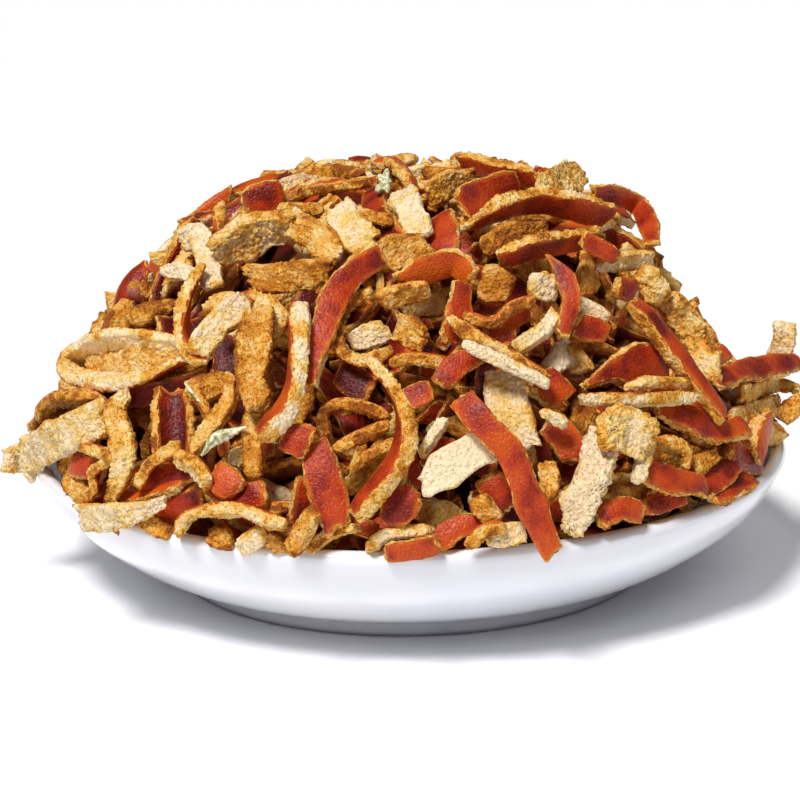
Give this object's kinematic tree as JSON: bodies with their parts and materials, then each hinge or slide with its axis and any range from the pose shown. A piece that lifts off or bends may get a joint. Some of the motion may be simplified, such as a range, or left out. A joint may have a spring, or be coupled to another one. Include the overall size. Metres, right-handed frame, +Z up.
{
  "type": "heap of dried orange peel in a dish",
  "caption": "Shallow white footed dish heaped with cut, curled strips of dried orange peel, red rind outside and pale pith inside.",
  "frame": {"origin": "on the dish's axis, in the plane its foot ring stands on", "axes": "+Z up along the dish's axis, -Y towards the heap's front, +X to the right seen from the front"},
  "size_m": [0.1648, 0.1614, 0.084],
  "materials": {
    "dish": "white glazed porcelain, glossy",
    "peel_heap": "dried peel, matt, red-brown rind and cream pith"
  },
  "bodies": {
    "root": {"dish": "dish", "peel_heap": "peel_heap"}
  },
  "joints": []
}
